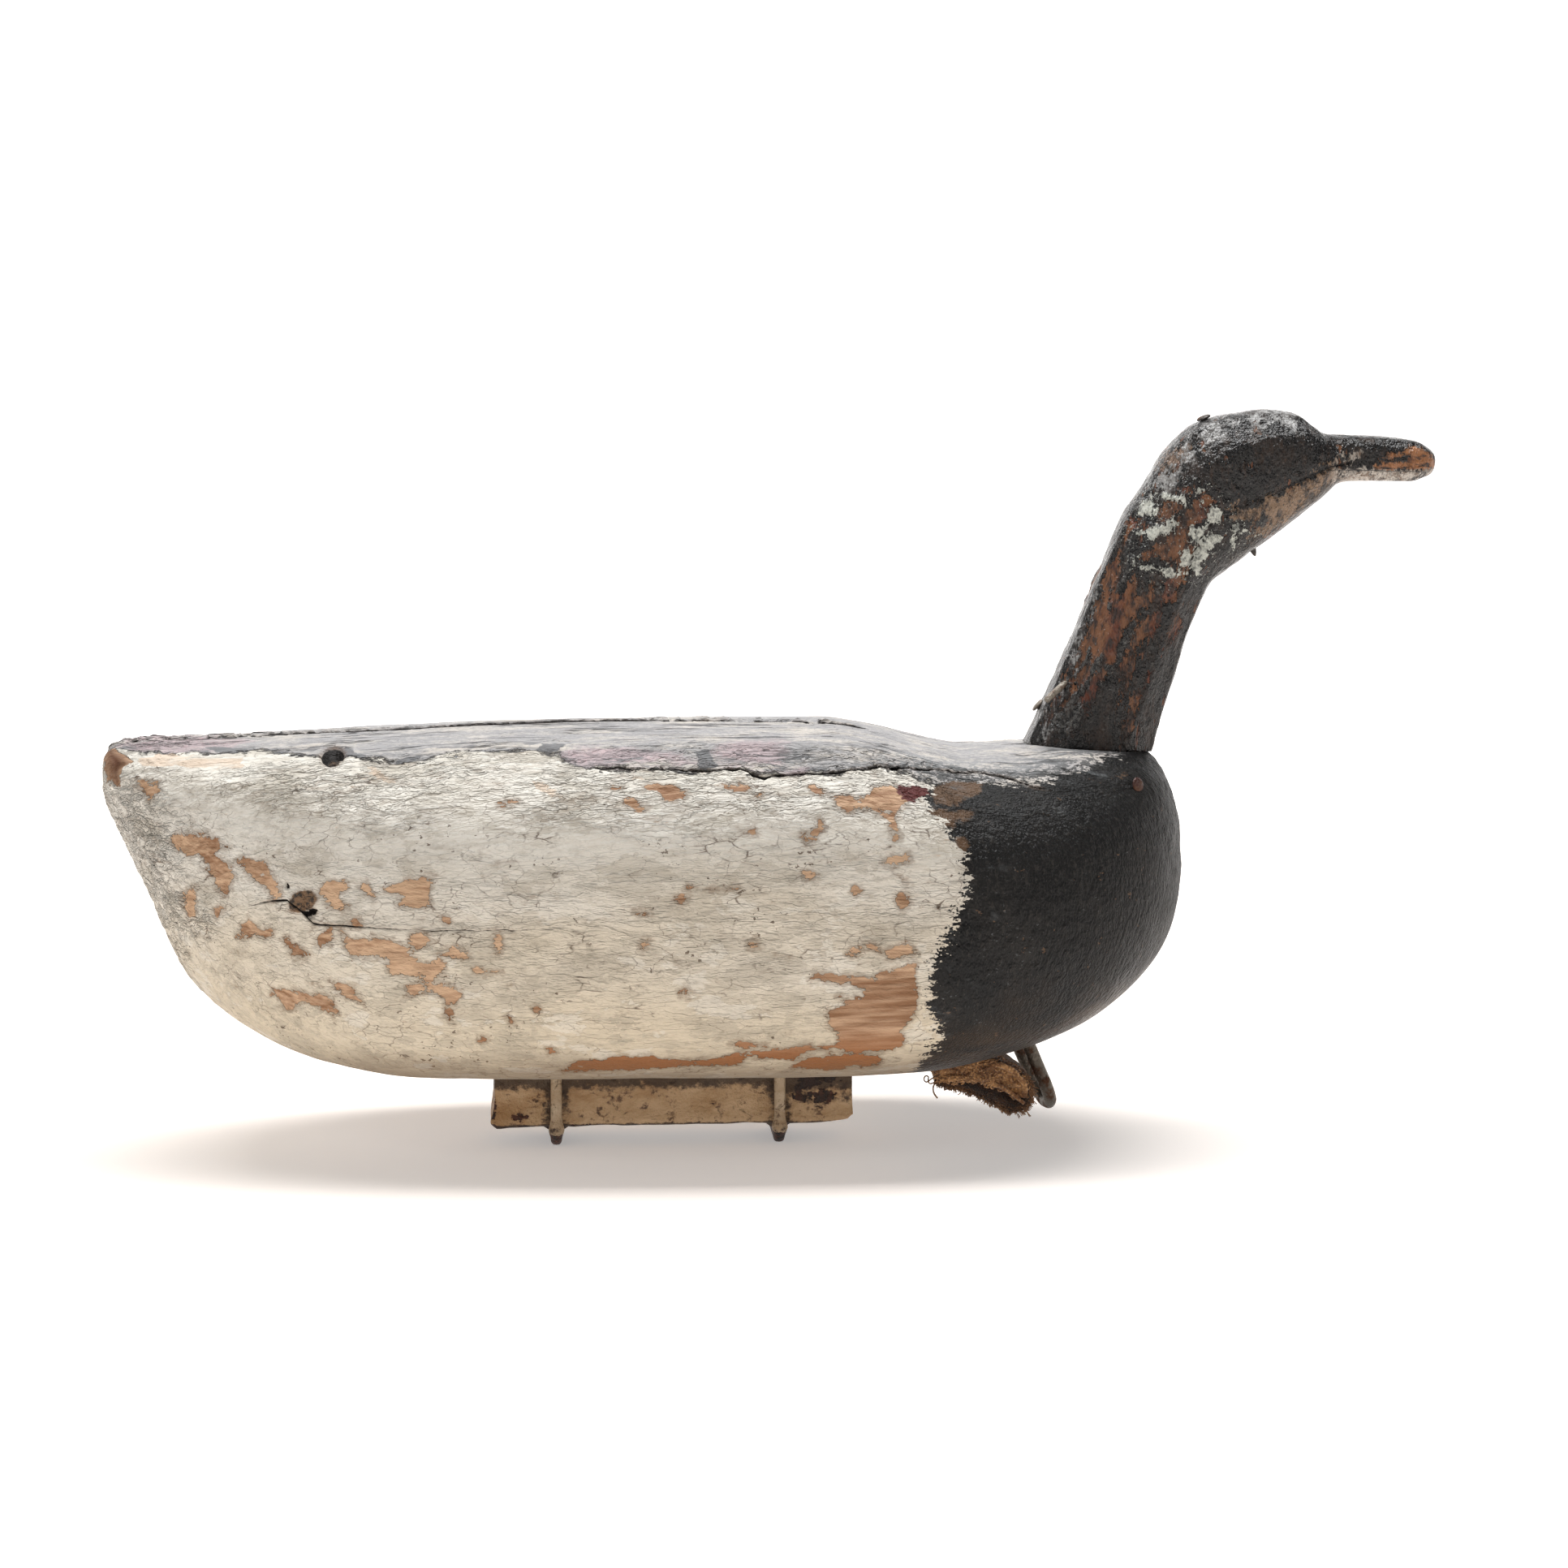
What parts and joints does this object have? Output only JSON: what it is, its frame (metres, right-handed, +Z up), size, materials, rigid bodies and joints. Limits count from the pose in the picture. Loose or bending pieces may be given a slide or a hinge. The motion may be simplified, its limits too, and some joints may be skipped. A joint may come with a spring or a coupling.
{
  "type": "goose decoy",
  "caption": "Floating goose decoy: long flat-bottomed carved wooden body, upright head and neck on its breast shelf, ballast bar and anchor-line staple below, worn white and black paint.",
  "frame": {"origin": "on the ground under the crowns of the two ballast staples, under the middle of the overall length and width", "axes": "+X from the tail to the bill, +Y to the decoy's left side, +Z up"},
  "size_m": [0.6856, 0.246, 0.378],
  "materials": {
    "body_paint": "flaking white, grey and black paint over bare wood",
    "head_paint": "worn black paint over brown wood",
    "painted_ballast": "yellowed paint over rust",
    "painted_staple": "yellowed paint worn to dark iron",
    "bare_iron": "dark weathered",
    "webbing": "frayed, woven"
  },
  "bodies": {
    "root": {"body": "body_paint", "head_and_neck": "head_paint", "ballast_bar": "painted_ballast", "anchor_staple": "bare_iron", "frayed_strap": "webbing", "ballast_staple_rear": "painted_staple", "ballast_staple_front": "painted_staple", "head_nail": "bare_iron", "neck_nail_rear": "bare_iron", "neck_nail_side": "bare_iron", "breast_nail": "bare_iron"}
  },
  "joints": []
}
